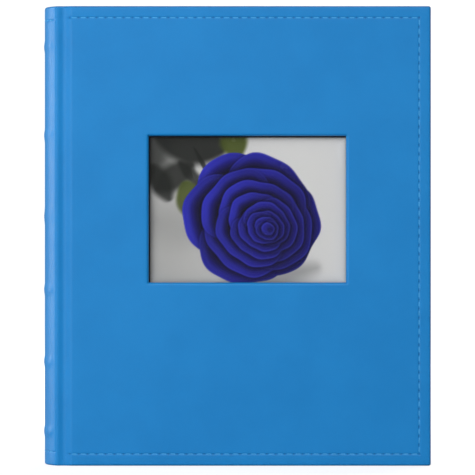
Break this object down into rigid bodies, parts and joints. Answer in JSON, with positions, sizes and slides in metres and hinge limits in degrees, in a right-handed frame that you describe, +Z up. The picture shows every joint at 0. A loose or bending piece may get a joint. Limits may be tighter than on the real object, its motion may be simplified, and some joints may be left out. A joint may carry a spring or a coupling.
{
  "type": "scrapbook album",
  "caption": "Post-bound scrapbook album with stitched padded leather covers, a picture window in the front, a rounded banded spine and top-loading page sleeves.",
  "frame": {"origin": "middle of the closed album's footprint, on the surface that its tail edge stands on", "axes": "+Z up along the spine, -Y out of the front cover, -X towards the spine"},
  "size_m": [0.2552, 0.046, 0.302],
  "materials": {
    "leather": "fine-grained dyed leather, satin",
    "thread": "waxed polyester thread",
    "foam": "soft white wadding",
    "greyboard": "dense grey bookbinding board",
    "endpaper": "smooth off-white endpaper",
    "pane": "clear plastic film",
    "pocket_card": "off-white card",
    "photo": null,
    "hinge_cloth": "woven book cloth",
    "flap": "white-lined board",
    "film": "clear welded film",
    "page": "uncoated off-white card",
    "post": "satin"
  },
  "bodies": {
    "binding": {"spine_skin": "leather", "spine_board": "greyboard", "spine_bands": "greyboard", "spine_stitching": "thread", "front_joint_strip": "leather", "back_joint_strip": "leather", "front_inner_hinge": "hinge_cloth", "back_inner_hinge": "hinge_cloth", "front_binding_flap": "flap", "back_binding_flap": "flap", "leaf_binding_strips": "film", "leaf_spacers": "flap", "post_barrels": "post", "post_screws": "post"},
    "front_cover": {"front_cover_skin": "leather", "front_cover_foam": "foam", "front_cover_board": "greyboard", "front_cover_liner": "endpaper", "front_stitching": "thread", "window_pane": "pane", "pocket_spacer": "pocket_card", "pocket_back_card": "pocket_card"},
    "back_cover": {"back_cover_skin": "leather", "back_cover_foam": "foam", "back_cover_board": "greyboard", "back_cover_liner": "endpaper", "back_stitching": "thread"},
    "photo": {"photo_print": "photo"},
    "leaf_01": {"leaf_01_sleeve": "film"},
    "leaf_02": {"leaf_02_sleeve": "film"},
    "leaf_03": {"leaf_03_sleeve": "film"},
    "leaf_04": {"leaf_04_sleeve": "film"},
    "leaf_05": {"leaf_05_sleeve": "film"},
    "leaf_06": {"leaf_06_sleeve": "film"},
    "leaf_07": {"leaf_07_sleeve": "film"},
    "leaf_08": {"leaf_08_sleeve": "film"},
    "leaf_09": {"leaf_09_sleeve": "film"},
    "leaf_10": {"leaf_10_sleeve": "film"},
    "leaf_11": {"leaf_11_sleeve": "film"},
    "leaf_12": {"leaf_12_sleeve": "film"},
    "page_01": {"leaf_01_page": "page"},
    "page_02": {"leaf_02_page": "page"},
    "page_03": {"leaf_03_page": "page"},
    "page_04": {"leaf_04_page": "page"},
    "page_05": {"leaf_05_page": "page"},
    "page_06": {"leaf_06_page": "page"},
    "page_07": {"leaf_07_page": "page"},
    "page_08": {"leaf_08_page": "page"},
    "page_09": {"leaf_09_page": "page"},
    "page_10": {"leaf_10_page": "page"},
    "page_11": {"leaf_11_page": "page"},
    "page_12": {"leaf_12_page": "page"}
  },
  "joints": [
    {"name": "front_cover_hinge", "type": "hinge", "parent": "binding", "child": "front_cover", "pos_m": [-0.1157, -0.023, 0.151], "axis": [0, 0, -1], "range_deg": [0, 180]},
    {"name": "back_cover_hinge", "type": "hinge", "parent": "binding", "child": "back_cover", "pos_m": [-0.1157, 0.023, 0.151], "axis": [0, 0, 1], "range_deg": [0, 180]},
    {"name": "photo_slide", "type": "slide", "parent": "front_cover", "child": "photo", "axis": [0, 0, 1], "range_m": [0, 0.105]},
    {"name": "leaf_01_turn", "type": "hinge", "parent": "binding", "child": "leaf_01", "pos_m": [-0.103, -0.0143, 0.151], "axis": [0, 0, -1], "range_deg": [0, 72]},
    {"name": "leaf_02_turn", "type": "hinge", "parent": "binding", "child": "leaf_02", "pos_m": [-0.103, -0.0117, 0.151], "axis": [0, 0, -1], "range_deg": [0, 66]},
    {"name": "leaf_03_turn", "type": "hinge", "parent": "binding", "child": "leaf_03", "pos_m": [-0.103, -0.0091, 0.151], "axis": [0, 0, -1], "range_deg": [0, 60]},
    {"name": "leaf_04_turn", "type": "hinge", "parent": "binding", "child": "leaf_04", "pos_m": [-0.103, -0.0065, 0.151], "axis": [0, 0, -1], "range_deg": [0, 54]},
    {"name": "leaf_05_turn", "type": "hinge", "parent": "binding", "child": "leaf_05", "pos_m": [-0.103, -0.0039, 0.151], "axis": [0, 0, -1], "range_deg": [0, 48]},
    {"name": "leaf_06_turn", "type": "hinge", "parent": "binding", "child": "leaf_06", "pos_m": [-0.103, -0.0013, 0.151], "axis": [0, 0, -1], "range_deg": [0, 42]},
    {"name": "leaf_07_turn", "type": "hinge", "parent": "binding", "child": "leaf_07", "pos_m": [-0.103, 0.0013, 0.151], "axis": [0, 0, -1], "range_deg": [0, 36]},
    {"name": "leaf_08_turn", "type": "hinge", "parent": "binding", "child": "leaf_08", "pos_m": [-0.103, 0.0039, 0.151], "axis": [0, 0, -1], "range_deg": [0, 30]},
    {"name": "leaf_09_turn", "type": "hinge", "parent": "binding", "child": "leaf_09", "pos_m": [-0.103, 0.0065, 0.151], "axis": [0, 0, -1], "range_deg": [0, 24]},
    {"name": "leaf_10_turn", "type": "hinge", "parent": "binding", "child": "leaf_10", "pos_m": [-0.103, 0.0091, 0.151], "axis": [0, 0, -1], "range_deg": [0, 18]},
    {"name": "leaf_11_turn", "type": "hinge", "parent": "binding", "child": "leaf_11", "pos_m": [-0.103, 0.0117, 0.151], "axis": [0, 0, -1], "range_deg": [0, 12]},
    {"name": "leaf_12_turn", "type": "hinge", "parent": "binding", "child": "leaf_12", "pos_m": [-0.103, 0.0143, 0.151], "axis": [0, 0, -1], "range_deg": [0, 6]},
    {"name": "page_01_slide", "type": "slide", "parent": "leaf_01", "child": "page_01", "axis": [0, 0, 1], "range_m": [0, 0.282]},
    {"name": "page_02_slide", "type": "slide", "parent": "leaf_02", "child": "page_02", "axis": [0, 0, 1], "range_m": [0, 0.282]},
    {"name": "page_03_slide", "type": "slide", "parent": "leaf_03", "child": "page_03", "axis": [0, 0, 1], "range_m": [0, 0.282]},
    {"name": "page_04_slide", "type": "slide", "parent": "leaf_04", "child": "page_04", "axis": [0, 0, 1], "range_m": [0, 0.282]},
    {"name": "page_05_slide", "type": "slide", "parent": "leaf_05", "child": "page_05", "axis": [0, 0, 1], "range_m": [0, 0.282]},
    {"name": "page_06_slide", "type": "slide", "parent": "leaf_06", "child": "page_06", "axis": [0, 0, 1], "range_m": [0, 0.282]},
    {"name": "page_07_slide", "type": "slide", "parent": "leaf_07", "child": "page_07", "axis": [0, 0, 1], "range_m": [0, 0.282]},
    {"name": "page_08_slide", "type": "slide", "parent": "leaf_08", "child": "page_08", "axis": [0, 0, 1], "range_m": [0, 0.282]},
    {"name": "page_09_slide", "type": "slide", "parent": "leaf_09", "child": "page_09", "axis": [0, 0, 1], "range_m": [0, 0.282]},
    {"name": "page_10_slide", "type": "slide", "parent": "leaf_10", "child": "page_10", "axis": [0, 0, 1], "range_m": [0, 0.282]},
    {"name": "page_11_slide", "type": "slide", "parent": "leaf_11", "child": "page_11", "axis": [0, 0, 1], "range_m": [0, 0.282]},
    {"name": "page_12_slide", "type": "slide", "parent": "leaf_12", "child": "page_12", "axis": [0, 0, 1], "range_m": [0, 0.282]}
  ],
  "couplings": [
    {"joint": "leaf_01_turn", "follows": "front_cover_hinge", "ratio": 0.4},
    {"joint": "leaf_02_turn", "follows": "front_cover_hinge", "ratio": 0.36666},
    {"joint": "leaf_03_turn", "follows": "front_cover_hinge", "ratio": 0.33333},
    {"joint": "leaf_04_turn", "follows": "front_cover_hinge", "ratio": 0.3},
    {"joint": "leaf_05_turn", "follows": "front_cover_hinge", "ratio": 0.26666},
    {"joint": "leaf_06_turn", "follows": "front_cover_hinge", "ratio": 0.23333},
    {"joint": "leaf_07_turn", "follows": "front_cover_hinge", "ratio": 0.2},
    {"joint": "leaf_08_turn", "follows": "front_cover_hinge", "ratio": 0.16666},
    {"joint": "leaf_09_turn", "follows": "front_cover_hinge", "ratio": 0.13333},
    {"joint": "leaf_10_turn", "follows": "front_cover_hinge", "ratio": 0.1},
    {"joint": "leaf_11_turn", "follows": "front_cover_hinge", "ratio": 0.06666},
    {"joint": "leaf_12_turn", "follows": "front_cover_hinge", "ratio": 0.03333}
  ]
}
